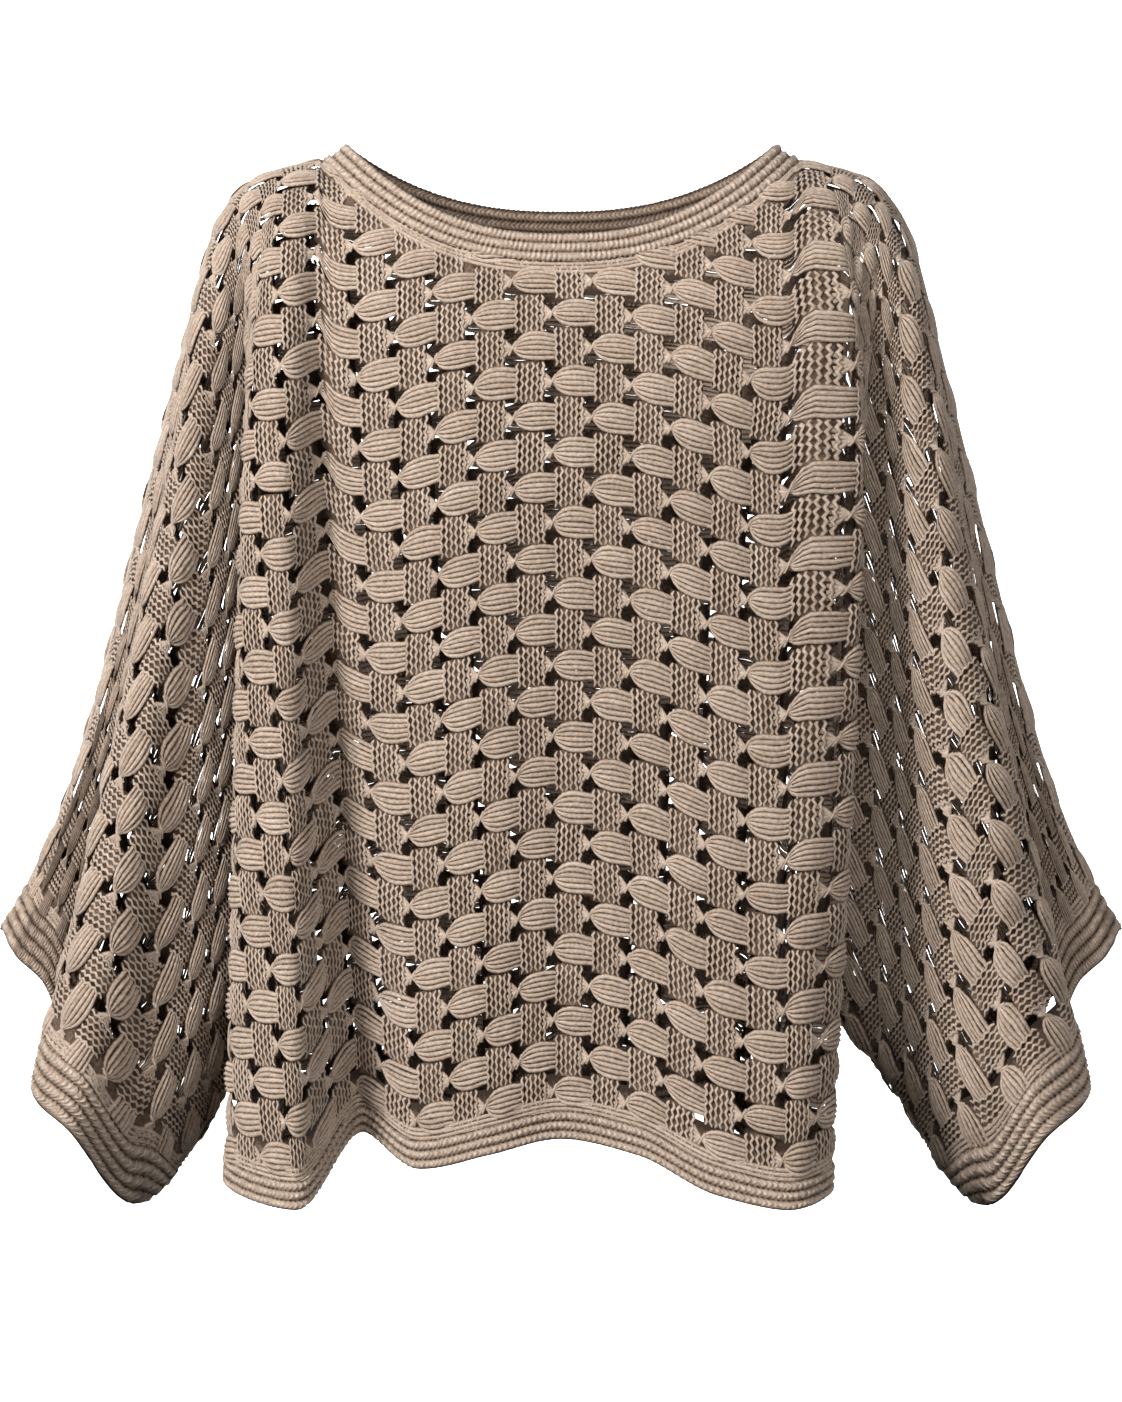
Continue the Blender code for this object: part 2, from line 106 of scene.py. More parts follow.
# One row for each strand that makes a fold. top_u is its upper end on the flat, hang is the x at which
# its straight part would start at shoulder height, flat_u and flat_v are its lower end on the flat,
# and x, depth and z are where that end hangs. Depth is measured from the seam plane at y = 0.
Fold = namedtuple("Fold", "top_u hang flat_u flat_v x depth z")

FRONT_FOLDS = [
    Fold(-CUFF_END, -334, -CUFF_END, 0.01, -334, 1, -444),
    Fold(-500, -270, -CUFF_END, 70, -325, 36, -459),
    Fold(-360, -238, -CUFF_END, 126, -308, 38, -476),
    Fold(-275, -222, -CUFF_END, 176, -300, 36, -504),
    Fold(-235, -212, -CUFF_END, 220, -314, 62, -537),
    Fold(-215, -204, -CUFF_END, 268, -290, 90, -562),
    Fold(-205, -197, -CUFF_END, 322, -257, 60, -607),
    Fold(-198, -194, -545, 385, -190, 34, -522),
    Fold(-192, -192, -480, 430, -156, 26, -470),
    Fold(-178, -190, -HEM_CORNER, 545, -168, 34, -538),
    Fold(-164, -187, -290, 602, -197, 88, -575),
    Fold(-152, -168, -215, 612, -156, 128, -589),
    Fold(-NECK_HALF, -143, -NECK_HALF, 612, -118, 60, -547),
    Fold(-100, -98, -100, 612, -84, 100, -566),
    Fold(-50, -49, -50, 612, -42, 112, -557),
    Fold(0, 0, 0, 612, 0, 108, -548),
    Fold(50, 49, 50, 612, 45, 114, -557),
    Fold(100, 98, 100, 612, 92, 126, -580),
    Fold(NECK_HALF, 143, NECK_HALF, 612, 134, 128, -589),
    Fold(156, 187, 188, 611, 159, 100, -579),
    Fold(166, 188, 285, 595, 122, 60, -556),
    Fold(178, 189, HEM_CORNER, 545, 138, 32, -538),
    Fold(192, 191, 480, 430, 142, 26, -474),
    Fold(198, 194, 545, 385, 186, 34, -520),
    Fold(205, 197, CUFF_END, 322, 256, 60, -608),
    Fold(215, 204, CUFF_END, 268, 286, 92, -566),
    Fold(235, 212, CUFF_END, 220, 314, 62, -537),
    Fold(275, 222, CUFF_END, 176, 300, 36, -504),
    Fold(360, 238, CUFF_END, 126, 308, 38, -476),
    Fold(500, 270, CUFF_END, 70, 325, 36, -459),
    Fold(CUFF_END, 334, CUFF_END, 0.01, 334, 1, -444),
]

BACK_FOLDS = [
    Fold(-CUFF_END, -334, -CUFF_END, 0.01, -334, 1, -444),
    Fold(-500, -270, -CUFF_END, 70, -323, 34, -459),
    Fold(-360, -236, -CUFF_END, 126, -303, 34, -476),
    Fold(-275, -220, -CUFF_END, 176, -289, 27, -502),
    Fold(-235, -210, -CUFF_END, 220, -298, 58, -530),
    Fold(-215, -204, -CUFF_END, 268, -290, 80, -562),
    Fold(-205, -197, -CUFF_END, 322, -257, 56, -607),
    Fold(-198, -194, -545, 385, -190, 34, -522),
    Fold(-192, -192, -480, 430, -156, 26, -470),
    Fold(-178, -190, -HEM_CORNER, 545, -168, 34, -538),
    Fold(-164, -187, -290, 602, -197, 78, -575),
    Fold(-150, -160, -205, 608, -138, 114, -558),
    Fold(-110, -108, -125, 610, -86, 84, -538),
    Fold(-55, -54, -60, 610, -44, 112, -548),
    Fold(0, 0, 0, 610, 0, 94, -536),
    Fold(55, 54, 60, 610, 42, 112, -546),
    Fold(110, 108, 125, 610, 88, 86, -538),
    Fold(150, 160, 205, 608, 113, 106, -556),
    Fold(166, 188, 285, 595, 122, 72, -556),
    Fold(178, 189, HEM_CORNER, 545, 138, 32, -538),
    Fold(192, 191, 480, 430, 142, 26, -474),
    Fold(198, 194, 545, 385, 186, 34, -520),
    Fold(205, 197, CUFF_END, 322, 256, 56, -608),
    Fold(215, 204, CUFF_END, 268, 286, 80, -566),
    Fold(235, 210, CUFF_END, 220, 298, 58, -530),
    Fold(275, 220, CUFF_END, 176, 289, 27, -502),
    Fold(360, 236, CUFF_END, 126, 303, 34, -476),
    Fold(500, 270, CUFF_END, 70, 323, 34, -459),
    Fold(CUFF_END, 334, CUFF_END, 0.01, 334, 1, -444),
]

# Where each panel's neck edge hangs at the centre line, and how far down the flat cloth it is cut.
Neck = namedtuple("Neck", "centre_z free_z cut")
FRONT_NECK = Neck(-47, -30, 105)
BACK_NECK = Neck(-27, -10, 75)
NECK_FREE_HALF = 127.0
NECK_FREE_Z = 26.0
NECK_LEAN = 0.89


def smooth_curve(at, knots, values):
    """A monotone cubic through the knots, so that each fold keeps its own height with no overshoot."""
    step = np.diff(knots)
    slope = np.diff(values) / step
    turn = slope[:-1] * slope[1:]
    mean = 2 * turn / np.where(turn > 0, slope[:-1] + slope[1:], 1)
    inner = np.where(turn > 0, mean, 0)
    slopes = np.concatenate([slope[:1], inner, slope[-1:]])
    k = np.clip(np.searchsorted(knots, at, side="right") - 1, 0, len(step) - 1)
    f = (at - knots[k]) / step[k]
    rise = values[k + 1] - values[k]
    bend = (slopes[k] * (1 - f) - slopes[k + 1] * f) * step[k]
    skew = bend - rise * (1 - 2 * f)
    return values[k] + rise * f + f * (1 - f) * skew


def quarter_round(w):
    """Depth of a quarter ellipse, 0 to 1, at a share w of its run."""
    w = np.clip(w, 0, 1)
    return np.sqrt(w * (2 - w))


def over_arm(u):
    """x and z of the over-arm seam at the flat distance u from the centre line."""
    xs = np.array([edge.x for edge in OVER_ARM], float)
    zs = np.array([edge.z for edge in OVER_ARM], float)
    run = NECK_HALF + np.concatenate([[0], np.cumsum(np.hypot(np.diff(xs), np.diff(zs)))])
    run = NECK_HALF + (run - NECK_HALF) * (CUFF_END - NECK_HALF) / (run[-1] - NECK_HALF)
    far = np.abs(u)
    return np.sign(u) * smooth_curve(far, run, xs), smooth_curve(far, run, zs)


def chest_depth(u):
    """How far the cloth stands from the seam plane below the shoulder, chest to arm."""
    return ARM_DEPTH + CHEST_GAIN * np.exp(-((u / CHEST_REACH) ** 2))


def round_height(u):
    """Height over which the cloth rounds from the seam plane to its depth, chest to arm."""
    return ARM_ROUND + CHEST_ROUND * np.exp(-((u / ROUND_REACH) ** 2))


class Drape:
    """One panel as it hangs: flat cloth (u, v) to x, y, z in millimetres."""

    STRANDS = 321
    STEPS = 81
    EDGE_POINTS = 900
    BATCH = 4000

    def __init__(self, folds, neck, facing):
        self.neck = neck
        self.facing = facing
        rows = np.array(folds, float)
        self.columns = rows.T
        run = np.hypot(np.diff(rows[:, 2]), np.diff(rows[:, 3]))
        self.knots = np.concatenate([[0], np.cumsum(run)])
        self.edge_q, self.edge_u, self.edge_v = self.lower_edge()
        self.seams = self.seam_lines()
        self.strand_at = np.linspace(0, self.knots[-1], self.STRANDS)
        self.warp = self.even_steps()

    def fold(self, q):
        """Every column of the fold table at the strands q."""
        return [smooth_curve(q, self.knots, column) for column in self.columns]

    def neck_cut(self, u):
        """Flat v of the panel's upper edge: the neck curve, or the over-arm seam at 0."""
        share = np.clip(np.abs(u) / NECK_HALF, 0, 1)
        return self.neck.cut * (1 - share**NECK_CURVE)

    def upper_end(self, u):
        """x and z where a strand starts, on the neck edge or the over-arm seam."""
        share = np.clip(np.abs(u) / NECK_HALF, 0, 1)
        neck_z = self.neck.centre_z + (SHOULDER_Z - self.neck.centre_z) * share**NECK_CURVE
        arm_x, arm_z = over_arm(np.where(np.abs(u) < NECK_HALF, NECK_HALF, u))
        inside = np.abs(u) < NECK_HALF
        return np.where(inside, u, arm_x), np.where(inside, neck_z, arm_z)

    def lower_edge(self):
        """Strands and flat points along the hem and underarm edges, left cuff corner to right."""
        q = np.union1d(np.linspace(0, self.knots[-1], self.EDGE_POINTS), self.knots)
        u, v = self.fold(q)[2:4]
        first = np.flatnonzero(u < TINY - CUFF_END)[-1]
        last = np.flatnonzero(u > CUFF_END - TINY)[0]
        return q[first : last + 1], u[first : last + 1], v[first : last + 1]

    def bottom(self, u):
        """Flat v of the hem or underarm edge at u."""
        return np.interp(u, self.edge_u, self.edge_v)

    def seam_lines(self):
        """Straight runs of both underarm seams on the flat, from the hem band's edge to the cuff."""
        starts, ends = [], []
        for side in (-1, 1):
            seam = self.edge_u * side > HEM_CORNER - TINY
            line = np.stack([self.edge_u[seam], self.edge_v[seam]], 1)[::side]
            stub = line[0] + 2 * HEM_BAND * np.array([side * HEM_SLANT, 1])
            line = np.vstack([stub, line])
            starts.append(line[:-1])
            ends.append(line[1:])
        return np.concatenate(starts), np.concatenate(ends)

    def seam_distance(self, u, v):
        """Flat distance to the nearest underarm seam."""
        starts, ends = self.seams
        run = ends - starts
        flat = np.stack([np.ravel(u), np.ravel(v)], 1)
        nearest = np.empty(len(flat))
        for first in range(0, len(flat), self.BATCH):
            reach = flat[first : first + self.BATCH, None] - starts
            share = np.clip((reach * run).sum(2) / (run * run).sum(1), 0, 1)
            gap = np.linalg.norm(reach - share[..., None] * run, axis=2)
            nearest[first : first + self.BATCH] = gap.min(1)
        return nearest.reshape(np.shape(u))

    def hang(self, q, t):
        """Point at a share t of strand q, before the underarm seam closes it: x, depth and z."""
        top_u, hang, _, _, low_x, low_depth, low_z = self.fold(q)
        top_x, top_z = self.upper_end(top_u)
        level = np.where(np.abs(top_u) < NECK_HALF, SHOULDER_Z, top_z)
        z = top_z + (low_z - top_z) * t
        grown = np.sign(t) * np.abs(t) ** FOLD_GROWTH
        eased = 1 - (1 - np.clip(t, 0, 1)) ** SHOULDER_EASE
        x = top_x + (hang - top_x) * eased + (low_x - hang) * np.where(t > 1, t, grown)
        full, height = chest_depth(top_u), round_height(top_u)
        low_round = quarter_round((level - low_z) / height)
        growth = FOLD_GROWTH + (BODY_GROWTH - FOLD_GROWTH) * np.exp(-((top_u / BODY_HALF) ** 6))
        deeper = np.sign(t) * np.abs(t) ** growth
        depth = full * quarter_round((level - z) / height) + (low_depth - full * low_round) * deeper
        return x, depth, z

    def even_steps(self):
        """For each strand, how far t runs ahead of its even length. So courses keep their height."""
        t = np.linspace(0, 1, self.STEPS) ** EARLY_STEPS
        x, depth, z = self.hang(self.strand_at[:, None], t[None, :])
        step = np.sqrt(np.diff(x) ** 2 + np.diff(depth) ** 2 + np.diff(z) ** 2)
        run = np.concatenate([np.zeros((len(x), 1)), np.cumsum(step, 1)], 1)
        run /= run[:, -1:]
        even = np.linspace(0, 1, self.STEPS)
        return np.stack([np.interp(even, row, t) for row in run]) - even

    def share_along(self, q, s):
        """t for an even share s along strand q."""
        at = np.clip(q / self.knots[-1], 0, 1) * (self.STRANDS - 1)
        row = np.clip(at.astype(int), 0, self.STRANDS - 2)
        along = np.clip(s, 0, 1) * (self.STEPS - 1)
        col = np.clip(along.astype(int), 0, self.STEPS - 2)
        a, b = at - row, along - col
        low = self.warp[row, col] * (1 - b) + self.warp[row, col + 1] * b
        high = self.warp[row + 1, col] * (1 - b) + self.warp[row + 1, col + 1] * b
        return s + low * (1 - a) + high * a

    def strand(self, u, v):
        """The strand and even share that pass through a flat point."""
        low = np.zeros(np.shape(u))
        high = np.full(np.shape(u), self.knots[-1])
        for _ in range(HALVINGS):
            q = (low + high) / 2
            top_u, _, flat_u, flat_v = self.fold(q)[:4]
            top_v = self.neck_cut(top_u)
            s = (v - top_v) / (flat_v - top_v)
            past = top_u + (flat_u - top_u) * s > u
            high = np.where(past, q, high)
            low = np.where(past, low, q)
        return q, s

    def point(self, u, v):
        """x, y, z of flat points."""
        u, v = np.asarray(u, float), np.asarray(v, float)
        q, s = self.strand(u, v)
        x, depth, z = self.hang(q, self.share_along(q, s))
        depth = depth * quarter_round(self.seam_distance(u, v) / LENS)
        return np.stack([x, self.facing * depth, z], -1)

    def normal(self, u, v):
        """Outward unit normals, read just inside the cloth so that its edges have them too."""
        towards = np.hypot(u, v - MIDDLE_V)
        u = u - NUDGE * u / towards
        v = v - NUDGE * (v - MIDDLE_V) / towards
        reach = NUDGE / 4
        across = self.point(u + reach, v) - self.point(u - reach, v)
        down = self.point(u, v + reach) - self.point(u, v - reach)
        out = np.cross(across, down) * self.facing
        return out / np.maximum(np.linalg.norm(out, axis=-1, keepdims=True), 1e-9)


GRID_STEP = 3.0
LEAST_FACE = 0.02  # flat area in mm2 under which a trimmed face is dropped
GRID_MARGIN = 24.0
SLOPE_REACH = 1.5  # in mm to each side, where a slope is read from the grid

# The knit's lattice: the shells' pinches stand CELL apart across and COURSE apart down, in a checkerboard.
PINCH_U = -4.4
ROW_V = 12.0
BACK_SHIFT = (12.0, 10.5)  # the back's lattice is set over by about half a cell and half a course
RIBS = 6
# Along a shell, in cells from its pinch: its height in courses, and how far its crown stands out in mm.
ShellSection = namedtuple("ShellSection", "along height crown")
SHELL_SECTIONS = [
    ShellSection(-0.04, 0.12, 1.9),
    ShellSection(0.04, 0.30, 2.3),
    ShellSection(0.12, 0.55, 2.9),
    ShellSection(0.24, 0.76, 3.4),
    ShellSection(0.40, 0.88, 3.7),
    ShellSection(0.58, 0.91, 3.6),
    ShellSection(0.76, 0.88, 3.2),
    ShellSection(0.92, 0.82, 2.3),
    ShellSection(1.05, 0.80, 1.2),
]
SHELL_STRETCH = 0.04  # how much the shells' heights differ, as a share
RIB_DROP = 1.6
RIB_OVERLAP = 1.04
SHELL_EDGE_FALL = 1.7  # how much lower the outer ribs of a shell lie than its middle ones

STRANDS = 6
STRIP_START, STRIP_STOP = 0.0, 0.78  # in cells from the pinch
STRIP_REACH = 0.57  # in courses, above and below the row's middle
STRAND_NODES = 10
STRAND_SWAY = 0.66
STRAND_OVERLAP = 0.08
STRAND_DROP = 0.9
STRIP_TOP, STRIP_END_TOP = 1.6, -0.2
# The shade ground: a flat dark sheet under the cloth that paints the shade of the garment's inside into
# the knit's openings.
SHADE_GROUND_TOP, GROUND_PAINTED_SHADE = -0.3, -16.0
SHADE_GROUND_REACH, SHADE_GROUND_POINTS = 0.59, 5
FRONT_SHADE_GROUND = (0.0, 0.78)  # in cells from the pinch, where the painted shade sheet starts and stops
BACK_SHADE_GROUND = (0.02, 1.10)
EDGE_SHADE_GROUND = 11.0  # half width of the painted shade sheet along a panel's edges, in mm

# Each panel's facing is along y, its shift moves the lattice across and down, in mm.
Panel = namedtuple("Panel", "name folds neck facing shift ground")
PANELS = [
    Panel("front", FRONT_FOLDS, FRONT_NECK, -1, (0.0, 0.0), FRONT_SHADE_GROUND),
    Panel("back", BACK_FOLDS, BACK_NECK, 1, BACK_SHIFT, BACK_SHADE_GROUND),
]

KNOT_CORDS, KNOT_POINTS = 4, 5
KNOT_START, KNOT_STOP = -0.36, 0.06  # in cells from the pinch
KNOT_SPREAD = 0.27  # in courses, each way, where the knot leaves the strip on its left
KNOT_TWIST = 0.07
KNOT_TOP = 1.5
KNOT_RISE = (0.3, 0.9)  # the share of its height that a cord starts at, and what it gains
KNOT_HALF, KNOT_THINNING = 1.7, 0.6  # half width where a cord starts, and what it loses
KNOT_DROP = 1.3
WRAP_POINTS = 4
WRAP_LEAN, WRAP_SHIFT = 0.09, -0.03  # in cells, how the cord over each pinch slants and stands off it
WRAP_REACH = 0.19  # in courses, each way
WRAP_TOP, WRAP_FALL, WRAP_HALF = 2.5, 1.4, 0.95

UNEVEN = 0.35  # how far stitches stray from the lattice, in mm
SEED = 11
ROW_COUNT = 31
EDGE_STEP = 2.5
EDGE_INSETS = [1.2, 3.8, 6.4]
EDGE_TOP, EDGE_HALF, EDGE_DROP = 1.5, 1.35, 1.5
SEAM_RIB_INSET, SEAM_RIB_TOP = 1.2, 1.2
SEAM_RIB_SKIP = 3  # the side seam's rib takes every third point of the edge
ARM_RIDGES = [(0.9, 1.9), (6.6, 2.3)]  # v and height of the ridges beside the over-arm seam

# Each panel's knit is three pieces: its name, first and last lattice columns.
PANEL_PARTS = [("left", -28, -9), ("middle", -8, 8), ("right", 9, 28)]
PART_POINTS = 400  # where a part's height is read for its flat area

RIB_STEPS = 6
BAND_STEP = 1.2
BAND_STITCH = 3.9
BAND_STITCH_RELIEF = 0.9
BAND_STITCH_SLANT = 0.35
NECK_BAND_RIBS = 3
HEM_BAND_RIBS = 3
CUFF_BAND_RIBS = 4
BAND_RELIEF = 1.5
BAND_CROWN = 0.7  # below 1, so that the ribs are fuller than a sine
BAND_SINK = 0.3
INSIDE_TONE = -7.0  # a band's inside is its shaded side
NECK_BAND_STATIONS = 281
HEM_BAND_STATIONS = 641
CUFF_BAND_STATIONS = 281

# Yarn colours from the darkest grooves to the lit crowns.
YARN_SHADES = [
    (0.0, (0.035, 0.019, 0.011)),
    (0.3, (0.17, 0.112, 0.075)),
    (0.62, (0.46, 0.35, 0.268)),
    (1.0, (0.78, 0.66, 0.56)),
]
# Noises: fine fibres, heathered flecks and broad patches, with their scales per metre.
Grain = namedtuple("Grain", "scale detail shade")
FIBRE = Grain(2600.0, 2.0, 0.5)
HEATHER = Grain(420.0, 3.0, 0.5)
PATCH = Grain(24.0, 2.0, 0.12)
MIDDLE_SHADE = 0.68
# How strongly the stitches of each yarn show: in its shade, which is painted light and shade along the
# stitches, in its relief, and in how far the painted groove shade waves in and out along a rib, in half
# widths.
Ply = namedtuple("Ply", "stitch slant shade relief scallop")
BASKET_PLY = Ply(3.2, 1.1, 0.04, 0.12, 0.10)
BAND_PLY = Ply(3.9, 2.2, 0.14, 0.5, 0.24)
# Painted shade in the grooves between cords: how dark it gets at a cord's edge.
GROOVE_PAINTED_SHADE = 0.55
GROOVE_WIDTH = 2.6  # a larger power keeps the painted groove shade nearer its bottom
# How far each step of tone moves the yarn's shade. Tone holds each cord's own random tone, and the painted
# shade of the ground sheet and of the bands' insides.
TONE_SHADE = 0.03
STITCH_STRAY = 3.0
STITCH_START = 4  # the first stitches of two cords are up to this far apart, in mm
FIBRE_RELIEF = 1.0
RELIEF_DEPTH, RELIEF_STRENGTH = 0.0006, 0.7
WOOL = {"Roughness": 0.92, "Specular IOR Level": 0.2, "Sheen Weight": 0.12, "Sheen Roughness": 0.6}

# The view: level and square to the front, from far enough off to be nearly without perspective.
VIEW_HEIGHT = 841.2  # in mm, what the frame holds from top to bottom
VIEW_X, VIEW_Z = 0.0, -0.3066
VIEW_DISTANCE = 6.0
SENSOR = 24.0
CLIP_END = 60
STUDIO_COLOUR, STUDIO_ROUGHNESS = (0.9, 0.9, 0.9), 0.9
FLOOR_Z = -2.0
WALL_RADIUS, WALL_HIGH, WALL_SIDES = 8.0, 6.0, 64  # a round wall, farther off than any view
SWEEP_ROUND, SWEEP_STEPS = 1.0, 8
WORLD_LIGHT = 0.24
# Softboxes in metres and watts. The first three are turned to the garment, the last two to the wall
# behind it, as far to each side of its middle as WALL_AIM says.
Softbox = namedtuple("Softbox", "name place size power")
SOFTBOXES = [
    Softbox("key", (-2.1, -2.2, 1.3), 0.9, 142.0),
    Softbox("fill", (0.9, -3.2, 0.5), 1.4, 32.0),
    Softbox("back_light", (-1.6, 2.8, 1.2), 1.2, 60.0),
]
WALL_SOFTBOX = Softbox("wall_light", (2.2, 5.6, 0.6), 1.4, 320.0)
WALL_AIM = 0.3


class Cloth:
    """A drape read once on a regular flat grid, so that the knit's many points are quick to place."""

    def __init__(self, drape):
        self.drape = drape
        reach = CUFF_END + GRID_MARGIN
        across = np.arange(-reach, reach + GRID_STEP, GRID_STEP)
        down = np.arange(-GRID_MARGIN, drape.edge_v.max() + HEM_BAND + GRID_MARGIN, GRID_STEP)
        self.first_u, self.first_v = across[0], down[0]
        u, v = np.meshgrid(across, down, indexing="ij")
        q, s = drape.strand(u, v)
        x, depth, z = drape.hang(q, drape.share_along(q, s))
        self.grid = np.stack([x, depth, z, drape.seam_distance(u, v)], -1)

    def point(self, u, v):
        """x, y, z of flat points. The seam's rounding comes after the grid is read, so it stays exact."""
        a = (u - self.first_u) / GRID_STEP
        b = (v - self.first_v) / GRID_STEP
        row = np.clip(a.astype(int), 0, self.grid.shape[0] - 2)
        col = np.clip(b.astype(int), 0, self.grid.shape[1] - 2)
        a, b = (a - row)[..., None], (b - col)[..., None]
        near = self.grid[row, col] * (1 - a) + self.grid[row + 1, col] * a
        far = self.grid[row, col + 1] * (1 - a) + self.grid[row + 1, col + 1] * a
        x, depth, z, seam = np.moveaxis(near * (1 - b) + far * b, -1, 0)
        y = self.drape.facing * depth * quarter_round(seam / LENS)
        return np.stack([x, y, z], -1)

    def normal(self, u, v):
        """Outward unit normals from the grid, read a little inside the cloth."""
        towards = np.hypot(u, v - MIDDLE_V) + TINY
        u = u - NUDGE * u / towards
        v = v - NUDGE * (v - MIDDLE_V) / towards
        across = self.point(u + SLOPE_REACH, v) - self.point(u - SLOPE_REACH, v)
        down = self.point(u, v + SLOPE_REACH) - self.point(u, v - SLOPE_REACH)
        out = np.cross(across, down) * self.drape.facing
        return out / np.maximum(np.linalg.norm(out, axis=-1, keepdims=True), TINY)

    def lay(self, u, v, out, faced=None):
        """Points at a height over the cloth, kept on this panel's side of the seam plane.

        They stand out along the normals at the flat points faced, or at their own.
        """
        normal = self.normal(u, v) if faced is None else self.normal(*faced)
        points = self.point(u, v) + normal * out[..., None]
        if self.drape.facing < 0:
            points[..., 1] = np.minimum(points[..., 1], -HALF_GAP)
        else:
            points[..., 1] = np.maximum(points[..., 1], HALF_GAP)
        return points

    def trimmed(self, u, v):
        """Flat points drawn back to the panel's own outline."""
        u = np.clip(u, -CUFF_START, CUFF_START)
        return u, np.clip(v, self.drape.neck_cut(u), self.drape.bottom(u))


def new_piece(name, points, faces, maps, tone, material):
    """A smooth mesh piece. maps says where on its yarn each point lies, and tone shades it."""
    data = bpy.data.meshes.new(name)
    data.from_pydata((points * MM).tolist(), [], faces.tolist())
    corners = np.empty(len(data.loops), np.int32)
    data.loops.foreach_get("vertex_index", corners)
    layer = data.uv_layers.new(name="yarn")
    layer.data.foreach_set("uv", maps[corners].astype(np.float32).ravel())
    shade = data.attributes.new("tone", "FLOAT", "POINT")
    shade.data.foreach_set("value", tone.astype(np.float32))
    data.materials.append(material)
    data.shade_smooth()
    piece = bpy.data.objects.new(name, data)
    bpy.context.scene.collection.objects.link(piece)
    return piece


class Yarns:
    """Half-round cords on one cloth, gathered for one piece."""

    ACROSS = np.array([-1.0, 0.0, 1.0])

    def __init__(self, cloth, rng):
        self.cloth = cloth
        self.rng = rng
        self.flats, self.outs, self.maps, self.tones, self.faces = [], [], [], [], []
        self.count = 0
        self.flat_area = 0.0

    def lay(self, u, v, top, half, drop, tone=0.0):
        """Cords through flat middle lines: the arrays have a row for each cord."""
        u, v, top, half = np.broadcast_arrays(u, v, top, half)
        run_u, run_v = np.gradient(u, axis=1), np.gradient(v, axis=1)
        length = np.maximum(np.hypot(run_u, run_v), TINY)
        side_u, side_v = -run_v / length, run_u / length
        wide = half[..., None] * self.ACROSS
        flat_u = u[..., None] + side_u[..., None] * wide
        flat_v = v[..., None] + side_v[..., None] * wide
        out = top[..., None] - drop * self.ACROSS**2
        along = np.cumsum(length, 1) + self.rng.uniform(0, STITCH_START, (len(u), 1))
        yarn = np.stack(np.broadcast_arrays(along[..., None], (self.ACROSS + 1) / 2), -1)
        tone = np.broadcast_to(tone + self.rng.normal(0, 1, (len(u), 1, 1)), flat_u.shape)
        cords, points, wide = flat_u.shape
        index = self.count + np.arange(cords * points * wide).reshape(cords, points, wide)
        corners = [index[:, :-1, :-1], index[:, :-1, 1:], index[:, 1:, 1:], index[:, 1:, :-1]]
        self.flats.append(np.stack([flat_u, flat_v], -1).reshape(-1, 2))
        self.outs.append(out.ravel())
        self.maps.append(yarn.reshape(-1, 2))
        self.tones.append(tone.ravel())
        self.faces.append(np.stack(corners, -1).reshape(-1, 4))
        self.count += index.size

    def lay_bundles(self, u, v, top, half, drop):
        """Cords in bundles: the arrays run over bundles, then their cords, then the cords' points."""
        arrays = np.broadcast_arrays(u, v, top, half)
        self.lay(*(array.reshape(-1, array.shape[-1]) for array in arrays), drop)

    def piece(self, name, material):
        """One mesh of every cord, without what lies past the panel's outline."""
        flat = np.concatenate(self.flats)
        faces = np.concatenate(self.faces)
        u, v = self.cloth.trimmed(flat[:, 0], flat[:, 1])
        corner_u, corner_v = u[faces], v[faces]
        ahead_u, ahead_v = np.roll(corner_u, -1, 1), np.roll(corner_v, -1, 1)
        area = np.abs((corner_u * ahead_v - ahead_u * corner_v).sum(1)) / 2
        faces = faces[area > LEAST_FACE]
        self.flat_area = area[area > LEAST_FACE].sum()
        used, faces = np.unique(faces, return_inverse=True)
        faces = faces.reshape(-1, 4)
        if self.cloth.drape.facing > 0:
            faces = faces[:, ::-1]
        points = self.cloth.lay(u[used], v[used], np.concatenate(self.outs)[used])
        maps = np.concatenate(self.maps)[used]
        tones = np.concatenate(self.tones)[used]
        return new_piece(name, points, faces, maps, tones, material)


def lattice(first, last, shift, shells):
    """u and v of the pinches in some columns, of the shells or of the strips between them."""
    rows = np.arange(-1, ROW_COUNT)
    columns = np.arange(first, last + 1)
    k, j = np.meshgrid(columns, rows, indexing="ij")
    chosen = (k + j) % 2 == (0 if shells else 1)
    return PINCH_U + shift[0] + k[chosen] * CELL, ROW_V + shift[1] + j[chosen] * COURSE


def add_shells(yarns, u, v):
    """Shells: crowned bundles of ribs that fan out from a pinch and end square."""
    along, height, crown = np.array(SHELL_SECTIONS).T
    rib = (2 * np.arange(RIBS) + 1 - RIBS) / RIBS
    stretch = 1 + yarns.rng.normal(0, SHELL_STRETCH, (len(u), 1, 1))
    bend = yarns.rng.normal(0, UNEVEN, (len(u), 1, 1)) * np.sin(math.pi * along)
    stray = yarns.rng.normal(0, UNEVEN / 3, (len(u), RIBS, len(along)))
    half_height = height * COURSE / 2 * stretch
    cord_u = u[:, None, None] + along * CELL
    cord_v = v[:, None, None] + rib[:, None] * half_height + bend + stray
    top = crown - SHELL_EDGE_FALL * rib[:, None] ** 2 * np.minimum(crown / 3, 1) + stray
    half = half_height / RIBS * RIB_OVERLAP
    yarns.lay_bundles(cord_u, cord_v, top, half, RIB_DROP)


